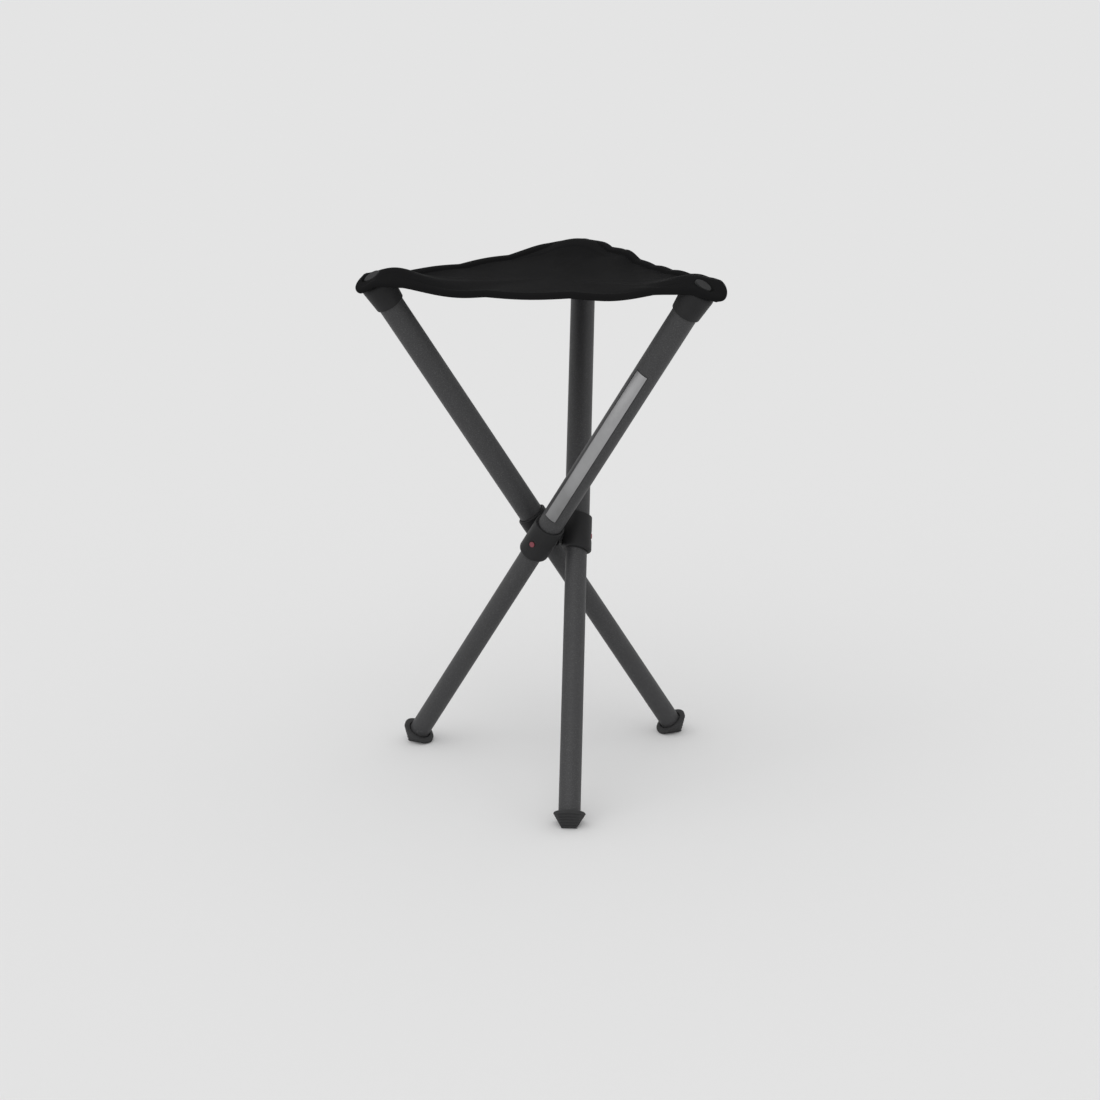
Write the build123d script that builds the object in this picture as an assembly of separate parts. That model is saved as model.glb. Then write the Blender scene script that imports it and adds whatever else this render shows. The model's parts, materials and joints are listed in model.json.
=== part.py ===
from build123d import *

import os
from math import atan2, cos, radians, sin, sqrt, tan

# A three-legged folding stool. Three telescopic legs cross at a hub, and each turns there about an axis
# that points straight out from the middle of the stool. A triangular fabric seat joins their upper ends.
# Millimetres and degrees. The origin is on the floor under the middle of the hub, and +Z is up.
# A leg is named after the seat corner that it carries.

# Tripod
hub_height = 235.2          # pivot axes above the floor
splay = 33.45               # lean of each leg from the vertical
legs = ("back", "left", "right")

# Clearances
fixed_gap = 0.05            # round a piece that is pressed or screwed in
running_gap = 0.1           # round a piece that turns or slides
soft_gap = 0.3              # between fabric and the piece under it
telescope_gap = 0.5         # between the two tubes of a leg, bridged by the guide bush
pivot_head_gap = 0.7        # between a pivot screw's head and the lower tube

# Lower tube. Distances along a leg are from its pivot, upwards positive.
lower_tube_od = 20.6
lower_tube_wall = 1.0
lower_tube_overlap = 27.0   # reach above the pivot, inside the upper tube
pin_hole_dia = 6.0

# Upper tube, which the lower tube slides in
upper_tube_wall = 1.2
upper_tube_foot = 8.0       # pivot to the tube's lower end
upper_tube_length = 292.0

# Pivot sleeve
sleeve_wall = 2.5           # round the upper tube
sleeve_above = 21.7
sleeve_below = 14.2
sleeve_slant = 10.0         # the end faces drop this much towards the outside
sleeve_top_round = 1.2
sleeve_bottom_round = 2.6
lip_width = 0.7             # groove round the upper tube where it enters the sleeve
lip_depth = 1.2
boss_dia = 15.0             # boss that meets the hub

# Hub core and pivot screws
hub_flat = 6.0              # middle of the hub to each flat
hub_core_height = 17.0
hub_corner_round = 3.0
hub_edge_chamfer = 1.0
pivot_shoulder_dia = 6.0
pivot_head_dia = 9.6
pivot_head_height = 1.7
pivot_thread_dia = 4.0
pivot_thread_length = 3.2
pivot_web = 3.9             # bearing length in the boss
pivot_socket_dia = 3.0      # tool socket in the screw head
pivot_socket_depth = 0.8

# Lock button and snap spring
button_dia = 5.4
button_proud = 1.5          # head above the bottom of its dish
button_head_round = 1.0
button_flange_dia = 7.2
button_flange_height = 0.75
button_web = 0.9            # sleeve wall between the dish and the button's flange
dish_dia = 12.0
dish_depth = 1.2
pin_dia = 5.6
pin_tip_reach = 1.0         # pin's tip beyond the lower tube
pin_tip_round = 0.8
spring_width = 5.6
spring_thickness = 0.7
spring_drop = 36.0          # bend below the pivot
spring_rise = 7.0           # ends above the pivot
spring_bend_radius = 2.5

# Guide bush on the lower tube
bush_plug_length = 12.0
bush_collar_height = 3.0
bush_wall = 2.25

# Top cap
cap_rim_wall = 1.55         # collar's wall at its lower rim
cap_shoulder_wall = 3.3     # the flared collar's wall, level with the tube's end
cap_skirt = 20.7            # collar down the outside of the tube
cap_end_wall = 6.3
cap_end_round = 5.6
cap_rim_round = 0.8
cap_plug_length = 18.0      # plug inside the tube

# Corner pocket and rivet
pocket_wall = 1.6           # folded fabric round the cap
pocket_end_wall = 2.8       # folded fabric under the rivet
pocket_depth = 7.4          # length of the fabric nose along the leg
pocket_nose_round = 5.5
pocket_crest = 5.2          # level top of the nose on its inner side, above the middle of its end
rivet_head_dia = 16.0
rivet_head_height = 1.8
rivet_head_round = 1.2
rivet_shank_dia = 4.0
rivet_grip = 23.0           # shank below the fabric

# Seat panel
seat_sag = 9.4              # middle of the seat below the middle of the pockets' ends
seat_slope = 6.0            # rise of the stretched fabric towards the corners, in degrees
seat_dip_radius = 60.0      # rounded dip in the middle, in plan
seat_fabric = 2.0
hem_height = 7.0
hem_width = 3.0
corner_shift = 4.6          # the seat's corners lie this far inwards of the legs, along the pivot axes
edge_margin = 2.6           # edge outside the corner pockets
edge_curve = 5.0            # how far each edge curves in, in the middle
edge_stop = 9.0             # edges end this far short of the corners

# Foot
foot_flange_lip = 1.7       # flange outside the wedge
foot_flange_height = 3.4
foot_flange_round = 1.5
foot_body_reach = 4.2       # wedge outside the lower tube
foot_plug_length = 24.0
sole_tip_width = 16.4       # straight edge of the sole under the leg's axis
foot_face_width = 24.0      # flat outer face, where it meets the flange
foot_rib_count = 3
foot_rib_radius = 0.7

# Worked out from the sizes above
leg_azimuths = {leg: 360 / len(legs) * turn for turn, leg in enumerate(legs)}   # way each pivot axis points
lower_tube_r = lower_tube_od / 2
lower_bore_r = lower_tube_r - lower_tube_wall
upper_bore_r = lower_tube_r + telescope_gap
upper_tube_r = upper_bore_r + upper_tube_wall
upper_tube_top = upper_tube_foot + upper_tube_length
sleeve_r = upper_tube_r + sleeve_wall
sleeve_bore_r = lower_tube_r + running_gap
cap_shoulder_r = upper_tube_r + cap_shoulder_wall
cap_rim = upper_tube_top - cap_skirt
cap_end = upper_tube_top + cap_end_wall
pocket_end = cap_end + soft_gap + pocket_end_wall
pocket_r = soft_gap + pocket_wall + cap_shoulder_r
dish_bottom = sleeve_r - dish_depth
button_seat = dish_bottom - button_web
foot_body_r = lower_tube_r + foot_body_reach
foot_flange_r = foot_body_r + foot_flange_lip
foot_tip = -hub_height / cos(radians(splay))
foot_flange_bottom = foot_tip + foot_flange_r * tan(radians(splay))
foot_flange_top = foot_flange_bottom + foot_flange_height
pivot_head_reach = lower_tube_r + pivot_head_gap + pivot_head_height    # leg's axis to under the head
leg_offset = pivot_head_reach + running_gap + pivot_web + running_gap + hub_flat
boss_face = hub_flat + running_gap - leg_offset
boss_seat = boss_face + pivot_web

FROM_BELOW = (Align.CENTER, Align.CENTER, Align.MIN)


def rod(radius, bottom, top):
    """A round bar along the leg's axis."""
    return Pos(0, 0, bottom) * Cylinder(radius, top - bottom, align=FROM_BELOW)


def cross_rod(radius, start, end):
    """A round bar along the pivot axis, which is the leg's own X."""
    return Pos(start, 0, 0) * Rot(0, 90, 0) * Cylinder(radius, end - start, align=FROM_BELOW)


def round_edges(solid, height, radius):
    """Rounds the circular edges of a turned piece that lie at one height."""
    edges = [edge for edge in solid.edges().filter_by(GeomType.CIRCLE)
             if abs(edge.center().Z - height) < 1e-6]
    widest = max(edge.radius for edge in edges)
    return fillet([edge for edge in edges if edge.radius > widest - 1e-6], radius)


def leg_plane(azimuth):
    """A leg's own frame: origin at its pivot, X outwards along the pivot axis, Z up the leg."""
    turn = radians(azimuth)
    lean = radians(splay)
    outward = Vector(cos(turn), sin(turn), 0)
    around = Vector(-sin(turn), cos(turn), 0)
    up_the_leg = around * sin(lean) + Vector(0, 0, cos(lean))
    pivot = outward * leg_offset + Vector(0, 0, hub_height)
    return Plane(origin=pivot, x_dir=outward, z_dir=up_the_leg)


def upper_tube():
    tube = rod(upper_tube_r, upper_tube_foot, upper_tube_top)
    return tube - rod(upper_bore_r, upper_tube_foot, upper_tube_top)


def lower_tube():
    tube = rod(lower_tube_r, foot_flange_top, lower_tube_overlap)
    bore = rod(lower_bore_r, foot_flange_top, lower_tube_overlap)
    return tube - bore - cross_rod(pin_hole_dia / 2, 0, lower_tube_od)


def pivot_sleeve():
    """The moulded sleeve: a slanted collar, the boss that turns on the hub, and the button's housing."""
    slant = radians(sleeve_slant)
    slanted = (sin(slant), 0, cos(slant))
    margin = 2 * sleeve_r
    body = rod(sleeve_r, -sleeve_below - margin, sleeve_above + margin)
    top_plane = Plane(origin=(0, 0, sleeve_above), z_dir=slanted)
    body = split(body, top_plane, keep=Keep.BOTTOM)
    body = split(body, Plane(origin=(0, 0, -sleeve_below), z_dir=slanted), keep=Keep.TOP)
    ends = body.edges().filter_by(GeomType.ELLIPSE).sort_by(Axis.Z)
    body = fillet(ends[0], sleeve_bottom_round)
    ends = body.faces().filter_by(GeomType.PLANE).sort_by(Axis.Z)[-1].edges()
    body = fillet(ends, sleeve_top_round)
    body += cross_rod(boss_dia / 2, boss_face, -lower_tube_r)
    body -= rod(sleeve_bore_r, -sleeve_below - margin, upper_tube_foot)
    body -= rod(upper_tube_r + fixed_gap, upper_tube_foot, sleeve_above + margin)
    body -= top_plane.location * rod(upper_tube_r + lip_width, -lip_depth, margin)
    body -= cross_rod(pivot_shoulder_dia / 2 + running_gap, boss_face, 0)
    body -= cross_rod(pivot_head_dia / 2 + soft_gap, boss_seat, 0)
    dish_radius = ((dish_dia / 2) ** 2 + dish_depth ** 2) / (2 * dish_depth)
    body -= Pos(dish_bottom + dish_radius, 0, 0) * Sphere(dish_radius)
    body -= cross_rod(button_dia / 2 + running_gap, 0, margin)
    body -= cross_rod(button_flange_dia / 2 + running_gap, 0, button_seat)
    return body


def hub_core():
    """A three-sided block with a flat and a threaded hole for each pivot."""
    corners = [Vector(2 * hub_flat, 0, 0).rotate(Axis.Z, azimuth + 60) for azimuth in leg_azimuths.values()]
    block = extrude(make_face(Polyline(corners, close=True)), hub_core_height / 2, both=True)
    block = fillet(block.edges().filter_by(Axis.Z), hub_corner_round)
    ends = block.faces().filter_by(Axis.Z).edges()
    block = chamfer(ends, hub_edge_chamfer)
    depth = hub_flat - pivot_thread_length - fixed_gap
    hole = cross_rod(pivot_thread_dia / 2 + fixed_gap, depth, 2 * hub_flat)
    for azimuth in leg_azimuths.values():
        block -= Rot(0, 0, azimuth) * hole
    return Pos(0, 0, hub_height) * block


def pivot_screw():
    """A shoulder screw from inside the sleeve into the hub, which the sleeve turns on."""
    flat = hub_flat - leg_offset
    head_under = boss_seat + running_gap
    head_top = head_under + pivot_head_height
    screw = cross_rod(pivot_thread_dia / 2, flat - pivot_thread_length, flat)
    screw += cross_rod(pivot_shoulder_dia / 2, flat, head_under)
    screw += cross_rod(pivot_head_dia / 2, head_under, head_top)
    return screw - cross_rod(pivot_socket_dia / 2, head_top - pivot_socket_depth, head_top)


def lock_button():
    """The push button: a rounded head and the flange that keeps it in the sleeve."""
    flange_top = button_seat - fixed_gap
    head_top = dish_bottom + button_proud
    head = Cylinder(button_dia / 2, head_top - flange_top, align=FROM_BELOW)
    head = round_edges(head, head_top - flange_top, button_head_round)
    button = Pos(flange_top, 0, 0) * Rot(0, 90, 0) * head
    return button + cross_rod(button_flange_dia / 2, flange_top - button_flange_height, flange_top)


def snap_spring():
    """A bent strip inside the lower tube, with the catch pin that stands out through the tube's hole."""
    half_width = spring_width / 2
    wall = sqrt(lower_bore_r ** 2 - half_width ** 2) - fixed_gap
    arm = wall - spring_thickness / 2
    points = [(arm, 0, spring_rise), (arm, 0, -spring_rise), (0, 0, -spring_drop)]
    points += [(-x, y, z) for x, y, z in reversed(points[:-1])]
    path = FilletPolyline(*points, radius=spring_bend_radius)
    across = Plane(origin=path @ 0, x_dir=(0, 1, 0), z_dir=path % 0)
    strip = sweep(across * Rectangle(spring_width, spring_thickness), path=path)
    pin_tip = lower_tube_r + pin_tip_reach
    pin = Cylinder(pin_dia / 2, pin_tip - arm, align=FROM_BELOW)
    pin = round_edges(pin, pin_tip - arm, pin_tip_round)
    return strip + Pos(arm, 0, 0) * Rot(0, 90, 0) * pin


def guide_bush():
    """A plug in the lower tube's top end, with a collar that runs in the upper tube."""
    top = lower_tube_overlap + bush_collar_height
    plug_r = lower_bore_r - fixed_gap
    plug = rod(plug_r, lower_tube_overlap - bush_plug_length, lower_tube_overlap)
    collar = rod(upper_bore_r - running_gap, lower_tube_overlap, top)
    return plug + collar - rod(plug_r - bush_wall, lower_tube_overlap - bush_plug_length, top)


def cap_outside(grow):
    """The outside of a top cap, this much larger all round: a flared collar and a domed end."""
    shoulder = cap_shoulder_r + grow
    collar = Cone(upper_tube_r + cap_rim_wall + grow, shoulder, cap_skirt, align=FROM_BELOW)
    dome = rod(shoulder, upper_tube_top, cap_end + grow)
    dome = round_edges(dome, cap_end + grow, min(cap_end_round, cap_end_wall) + grow)
    return Pos(0, 0, cap_rim) * collar + dome


def top_cap():
    """The collar and plug on the upper tube's end, with the hole for the corner rivet."""
    body = round_edges(cap_outside(0), cap_rim, cap_rim_round)
    body -= rod(upper_tube_r + fixed_gap, cap_rim, upper_tube_top)
    body += rod(upper_bore_r - fixed_gap, upper_tube_top - cap_plug_length, upper_tube_top)
    return body - rod(rivet_shank_dia / 2 + fixed_gap, pocket_end - rivet_grip, cap_end)


def corner_pocket():
    """The fabric nose over the end of a leg, level with the seat on its inner side."""
    lean = radians(splay)
    start = pocket_end - pocket_depth
    nose = round_edges(rod(pocket_r, start, pocket_end), pocket_end, min(pocket_nose_round, pocket_depth))
    crest = Plane(origin=(0, 0, pocket_end + pocket_crest / cos(lean)), z_dir=(0, -sin(lean), cos(lean)))
    nose = split(nose, crest, keep=Keep.BOTTOM)
    return nose - cap_outside(soft_gap) - rod(rivet_shank_dia / 2 + soft_gap, cap_end, pocket_end)


def corner_rivet():
    """The round-headed fastener through the fabric corner into the cap."""
    top = pocket_end + rivet_head_height
    head = round_edges(rod(rivet_head_dia / 2, pocket_end, top), top, rivet_head_round)
    return head + rod(rivet_shank_dia / 2, pocket_end - rivet_grip + fixed_gap, pocket_end)


def foot():
    """A plug in the lower tube, a round flange, and a wedge with a flat sole and a ribbed outer face."""
    lean = radians(splay)
    flange = rod(foot_flange_r, foot_flange_bottom, foot_flange_top)
    flange = round_edges(flange, foot_flange_top, foot_flange_round)
    flange = round_edges(flange, foot_flange_bottom, foot_flange_round)
    drop = foot_flange_bottom - foot_tip
    face_reach = sqrt(foot_flange_r ** 2 - (foot_face_width / 2) ** 2)
    wedge_top = foot_flange_bottom + foot_flange_height / 2
    wedge = rod(foot_body_r, foot_tip - drop, wedge_top)
    face_out = Vector(0, -drop, -face_reach).normalized()
    wedge = split(wedge, Plane(origin=(0, 0, foot_tip), z_dir=face_out), keep=Keep.BOTTOM)
    side_lean = atan2(foot_body_r - sole_tip_width / 2, drop)
    for side in (-1, 1):
        side_out = (side * cos(side_lean), 0, -sin(side_lean))
        side_plane = Plane(origin=(side * sole_tip_width / 2, 0, foot_tip), z_dir=side_out)
        wedge = split(wedge, side_plane, keep=Keep.BOTTOM)
    for rib in range(foot_rib_count):
        share = (rib + 1) / (foot_rib_count + 1)
        groove = Cylinder(foot_rib_radius, 2 * foot_flange_r, rotation=(0, 90, 0))
        wedge -= Pos(0, -face_reach * share, foot_tip + drop * share) * groove
    plug = rod(lower_bore_r - fixed_gap, foot_flange_top, foot_flange_top + foot_plug_length)
    floor = Plane(origin=(0, 0, foot_tip), z_dir=(0, -sin(lean), cos(lean)))
    return split(flange + wedge, floor, keep=Keep.TOP) + plug


def seat_outline(inset):
    """The seat's plan: a triangle with blunt corners, whose edges curve in between the corner pockets."""
    middle = pocket_end - pocket_depth / 2
    corners = []
    for azimuth in leg_azimuths.values():
        frame = leg_plane(azimuth)
        corner = frame.origin + frame.z_dir * middle - frame.x_dir * corner_shift
        corners.append(Vector(corner.X, corner.Y, 0))
    reach = pocket_r + edge_margin - inset
    edges = []
    for corner, following in zip(corners, corners[1:] + corners[:1]):
        along = (following - corner).normalized()
        out = Vector(along.Y, -along.X, 0)
        start = corner + along * edge_stop + out * reach
        halfway = (corner + following) / 2 + out * (reach - edge_curve)
        end = following - along * edge_stop + out * reach
        edges.append(ThreePointArc(start, halfway, end))
    joins = [Line(edge @ 1, after @ 0) for edge, after in zip(edges, edges[1:] + edges[:1])]
    return make_face(edges + joins)


def seat_layer(outline, depth):
    """A layer of the sagging seat, this deep below its top surface: a rounded dip inside a shallow cone."""
    slope = radians(seat_slope)
    dip_rise = seat_dip_radius * tan(slope / 2)
    rim_radius = 2 * seat_dip_radius + pocket_end
    rim_rise = dip_rise + (rim_radius - seat_dip_radius) * tan(slope)
    half_dip = seat_dip_radius * sin(slope / 2) / sin(slope)
    half_rise = half_dip * tan(slope / 4)
    dip = ThreePointArc((0, 0, 0), (half_dip, 0, half_rise), (seat_dip_radius, 0, dip_rise))
    cone = Line((seat_dip_radius, 0, dip_rise), (rim_radius, 0, rim_rise))
    drop = Pos(0, 0, -depth)
    middle = Line((0, 0, 0), (0, 0, -depth))
    rim = Line((rim_radius, 0, rim_rise), (rim_radius, 0, rim_rise - depth))
    bowl = revolve(make_face([dip, cone, drop * dip, drop * cone, middle, rim]), Axis.Z)
    column = Pos(0, 0, -2 * depth) * extrude(outline, rim_rise + 4 * depth)
    low_height = hub_height + pocket_end * cos(radians(splay)) - seat_sag
    return Pos(0, 0, low_height) * (bowl & column)


def seat_panel():
    """The fabric sheet with its deep folded edges, cut clear of the corner pockets."""
    panel = seat_layer(seat_outline(0), seat_fabric)
    panel += seat_layer(seat_outline(0) - seat_outline(hem_width), hem_height)
    for azimuth in leg_azimuths.values():
        frame = leg_plane(azimuth)
        panel -= frame.location * rod(pocket_r + soft_gap, 0, 2 * pocket_end)
    return panel


os.makedirs("parts", exist_ok=True)

leg_pieces = {
    "upper_tube": upper_tube(),
    "pivot_sleeve": pivot_sleeve(),
    "top_cap": top_cap(),
    "corner_pocket": corner_pocket(),
    "corner_rivet": corner_rivet(),
    "pivot_screw": pivot_screw(),
    "lower_tube": lower_tube(),
    "guide_bush": guide_bush(),
    "snap_spring": snap_spring(),
    "foot": foot(),
    "lock_button": lock_button(),
}
nodes = {"hub_core": hub_core(), "seat_panel": seat_panel()}
for leg, azimuth in leg_azimuths.items():
    place = leg_plane(azimuth).location
    for piece, shape in leg_pieces.items():
        nodes[f"{leg}_{piece}"] = place * shape

for name, shape in nodes.items():
    export_step(shape, f"parts/{name}.step")
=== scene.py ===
"""Dresses the three-legged folding stool: its fabric seat, feet, label, finishes and studio."""

import json
from collections import namedtuple
from math import atan2, cos, exp, hypot, pi, radians, sin, sqrt

import bmesh
import bpy
from bpy.props import FloatProperty, FloatVectorProperty, IntProperty, PointerProperty
from bpy.types import Operator, Panel, PropertyGroup
from mathutils import Matrix, Vector


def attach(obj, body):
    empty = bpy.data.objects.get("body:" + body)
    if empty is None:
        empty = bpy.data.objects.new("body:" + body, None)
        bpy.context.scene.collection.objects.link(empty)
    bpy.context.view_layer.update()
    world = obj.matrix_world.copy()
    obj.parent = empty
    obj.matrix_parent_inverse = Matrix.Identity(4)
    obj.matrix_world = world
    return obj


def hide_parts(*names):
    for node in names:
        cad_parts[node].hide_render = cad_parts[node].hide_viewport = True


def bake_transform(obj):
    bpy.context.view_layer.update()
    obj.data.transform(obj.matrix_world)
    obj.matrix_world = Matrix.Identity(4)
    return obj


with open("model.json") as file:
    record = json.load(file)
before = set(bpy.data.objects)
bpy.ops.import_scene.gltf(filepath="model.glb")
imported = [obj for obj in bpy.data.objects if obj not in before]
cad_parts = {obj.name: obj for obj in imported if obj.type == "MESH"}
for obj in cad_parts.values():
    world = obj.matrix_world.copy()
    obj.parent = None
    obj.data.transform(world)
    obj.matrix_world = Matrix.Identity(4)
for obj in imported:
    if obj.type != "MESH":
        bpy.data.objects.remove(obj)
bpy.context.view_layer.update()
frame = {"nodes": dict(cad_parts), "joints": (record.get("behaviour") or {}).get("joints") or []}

bl_info = {
    "name": "Folding stool",
    "version": (1, 0, 0),
    "blender": (4, 5, 0),
    "location": "3D View > Sidebar > Stool",
    "description": "Makes the stool's fabric seat, feet, label and finishes round its packed parts",
    "category": "Object",
}

LEG_NAMES = ("back", "left", "right")
JOINTS = {joint["name"]: joint for joint in frame["joints"]}
STRAIGHT_DOWN = Vector((0, 0, -1))
SAME_POINT = 1e-6                       # distance under which two points are one
GRAIN_DEPTH = 0.0002                    # depth of a finish's fine relief at full strength
SENSOR_WIDTH = 36                       # width of the camera's film in millimetres
FAR_CLIP = 500                          # how far the camera sees, past the end of the floor


def length(name, description, default):
    """A size in metres that a user may change."""
    return FloatProperty(name=name, description=description, default=default, precision=5,
                         unit="LENGTH", subtype="DISTANCE")


def lengths(name, description, default):
    """Three sizes in metres that a user may change."""
    return FloatVectorProperty(name=name, description=description, default=default, size=3, precision=5,
                               unit="LENGTH", subtype="XYZ")


def angle(name, description, degrees):
    """An angle that a user may change."""
    return FloatProperty(name=name, description=description, default=radians(degrees), subtype="ANGLE")


def share(name, description, default):
    """A plain number that a user may change."""
    return FloatProperty(name=name, description=description, default=default)


def colour(name, description, default):
    """A colour, written as it should look under plain light."""
    return FloatVectorProperty(name=name, description=description, default=default, size=3,
                               min=0, max=1, subtype="COLOR")


class StoolSeatSizes(PropertyGroup):
    """Sizes of the fabric seat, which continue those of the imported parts."""
    leg_offset: length("Leg offset", "Stool's axis to each leg's own axis", 0.0228)
    nose_end: length("Nose end", "Pivot to the outside of the fabric over a leg's end", 0.3118)
    nose_shift: length("Nose shift", "Leg's axis to the middle of the nose, along the pivot axis", 0.0066)
    nose_slip: length("Nose slip", "Leg's axis to the middle of the fabric nose, towards the seat", 0.0015)
    nose_radius: length("Nose radius", "Middle of the fabric nose to its edge", 0.0221)
    nose_round: length("Nose rounding", "Rounding of the fabric over the end of a leg", 0.0050)
    nose_depth: length("Nose depth", "Turned-down edge round the end of a leg", 0.0098)
    tip_trim: length("Tip trim", "How much shallower that edge is at the low tip of the end", 0.0050)
    nose_lift: length("Nose lift", "How far the free side of a nose stands above the leg's end", 0.0030)
    rim_lift: lengths("Rim lift", "How far the fabric stands up past the back, left and right rivets",
                      (0.0, 0.0019, 0.0))
    dimple: length("Dimple", "How far the rivet presses the fabric in", 0.0025)
    rivet_radius: length("Rivet radius", "Rivet's head", 0.0080)
    fabric: length("Fabric", "Thickness of the fabric", 0.0006)
    low_height: length("Low height", "Floor to the fabric in the middle of the seat", 0.4840)
    dip_share: share("Dip share", "Part of the way to the edge that the rounded dip takes", 0.36)
    ridge: lengths("Ridges", "Rise of the fabric over the back, left and right legs' ends",
                   (0.0089, 0.0112, 0.0085))
    ridge_place: length("Ridge place", "Rivet to the top of the ridge, towards the seat's middle", 0.0190)
    ridge_length: length("Ridge length", "How far the ridge runs towards the seat's middle", 0.0290)
    ridge_width: lengths("Ridge widths", "Half-width of each ridge over its leg's end",
                         (0.0225, 0.0150, 0.0150))
    left_hem: lengths("Left hem", "Floor to the hem at its start, middle and end",
                      (0.4920, 0.4907, 0.4922))
    front_hem: lengths("Front hem", "Floor to the hem at its start, middle and end",
                       (0.4925, 0.4860, 0.4938))
    right_hem: lengths("Right hem", "Floor to the hem at its start, middle and end",
                       (0.4950, 0.4922, 0.4938))
    edge_curve: length("Edge curve", "How far each edge curves in between two corners", 0.0050)
    hem_height: length("Hem height", "Turned-down edge between the corners", 0.0062)
    hem_round: length("Hem rounding", "Rounding of the turned edge", 0.0024)
    hem_width: length("Hem width", "Edge to the hem's seam", 0.0062)
    hem_rise: lengths("Hem rise", "How far the left, front and right hems stand up",
                      (0.0032, 0.0010, 0.0030))
    crease_place: length("Crease place", "Middle of a nose to the crease round its corner", 0.0370)
    crease_bow: length("Crease bow", "How much further in the crease lies beside the corner", 0.0320)
    crease_reach: length("Crease reach", "Distance aside at which it does so and fades", 0.0400)
    crease_depth: lengths("Crease depth", "Depth of the creases round the back, left and right corners",
                          (0.0014, 0.0, 0.0))
    crease_width: length("Crease width", "Half-width of the crease", 0.0015)
    seam_depth: length("Seam depth", "How far the stitching draws the fabric in", 0.0009)
    roll: length("Roll", "Radius of the turn under the hem", 0.0017)
    flap: length("Flap", "Fabric turned up inside the hem", 0.0020)
    ripple: lengths("Ripples", "Height of the ripples along the left, front and right hems",
                    (0.0016, -0.0018, 0.0012))
    pucker: length("Pucker", "Height of the bump in the right hem", 0.0050)
    pucker_place: share("Pucker place", "Part of the way along the right hem", 0.70)
    pucker_width: length("Pucker width", "Half-width of the bump in the right hem", 0.0250)
    blend_start: length("Blend start", "Stool's axis to where the fabric starts to follow a leg", 0.046)
    blend_end: length("Blend end", "Stool's axis to where the fabric follows the leg fully", 0.166)
    yarn_pitch: length("Yarn pitch", "One yarn of the weave", 0.0009)
    stitch_pitch: length("Stitch pitch", "One stitch and the gap after it", 0.0038)
    stitch_length: length("Stitch length", "One stitch", 0.0027)
    stitch_radius: length("Stitch radius", "Thickness of the thread", 0.00032)
    columns: IntProperty(name="Columns", description="Steps along a sector's edge", default=160)


class StoolLabelSizes(PropertyGroup):
    """Sizes of the plain foil label on the right leg."""
    bottom: length("Bottom", "Pivot to the label's lower end, along the leg", 0.0325)
    top: length("Top", "Pivot to the label's upper end, along the leg", 0.2118)
    radius: length("Radius", "Leg's axis to the outside of the label", 0.01216)
    thickness: length("Thickness", "Foil and its glue", 0.00012)
    reach: angle("Reach", "Angle that the label takes up round the tube", 65.5)
    turn: angle("Turn", "Angle from the leg's pivot axis to the middle of the label", 2.2)
    border: length("Border", "Width of the dark line round the label", 0.0007)
    steps: IntProperty(name="Steps", description="Steps across the label", default=24)


class StoolFootSizes(PropertyGroup):
    """Sizes of a foot, measured up the leg from the tip of its sole."""
    tube_radius: length("Tube radius", "Outside of the lower tube", 0.0103)
    tube_end: length("Tube end", "Tip to the end of the lower tube", 0.0141)
    plug_radius: length("Plug radius", "Plug inside the lower tube", 0.00925)
    plug_length: length("Plug length", "How far the plug goes into the tube", 0.0240)
    half_width: length("Half width", "Leg's axis to the flange's rim, along the pivot axis", 0.0149)
    half_length: length("Half length", "Leg's axis to the flange's rim, in and out", 0.0169)
    rim: length("Rim", "Tip to the widest place of the flange", 0.0130)
    flange_top: length("Flange top", "Tip to the top of the flange", 0.0148)
    groove_width: length("Groove width", "Gap between the tube and the flange", 0.0013)
    groove_depth: length("Groove depth", "Depth of that gap", 0.0034)
    tip_half_width: length("Tip half width", "Half of the sole's straight outer edge", 0.0069)
    tip_out: length("Tip out", "How far that edge lies outside the leg's axis", 0.0007)
    rib_height: length("Rib height", "Height of the ribs on the outer face", 0.0011)
    ribs: IntProperty(name="Ribs", description="Ribs on the outer face", default=6)
    steps: IntProperty(name="Steps", description="Steps round a foot", default=96)


class StoolColours(PropertyGroup):
    """Colours of the finishes."""
    tube: colour("Tube", "Dark grey paint", (0.043, 0.043, 0.0445))
    tube_speckle: colour("Tube speckle", "Lighter grains in the paint", (0.078, 0.078, 0.080))
    moulding: colour("Moulding", "Black moulded plastic", (0.016, 0.016, 0.0167))
    fabric: colour("Fabric", "Black woven polyester", (0.0120, 0.0120, 0.0123))
    # The hem's colour is a little darker than the fabric's: painted shade for the turned-down faces, which
    # get less of the light from above.
    hem: colour("Hem", "Black woven polyester, folded and pressed", (0.0118, 0.0118, 0.0121))
    thread: colour("Thread", "Sewing thread", (0.010, 0.010, 0.0105))
    rivet: colour("Rivet", "Grey moulded head", (0.018, 0.018, 0.0187))
    foot: colour("Foot", "Dark grey rubber", (0.031, 0.031, 0.032))
    button: colour("Button", "Red moulded plastic", (0.215, 0.043, 0.060))
    steel: colour("Steel", "Zinc-plated steel", (0.45, 0.45, 0.46))
    foil: colour("Foil", "Silver label", (0.33, 0.33, 0.335))
    foil_border: colour("Foil border", "Thin dark line round the label", (0.02, 0.02, 0.021))
    floor: colour("Floor", "Plain pale floor", (0.79, 0.79, 0.79))


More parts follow.
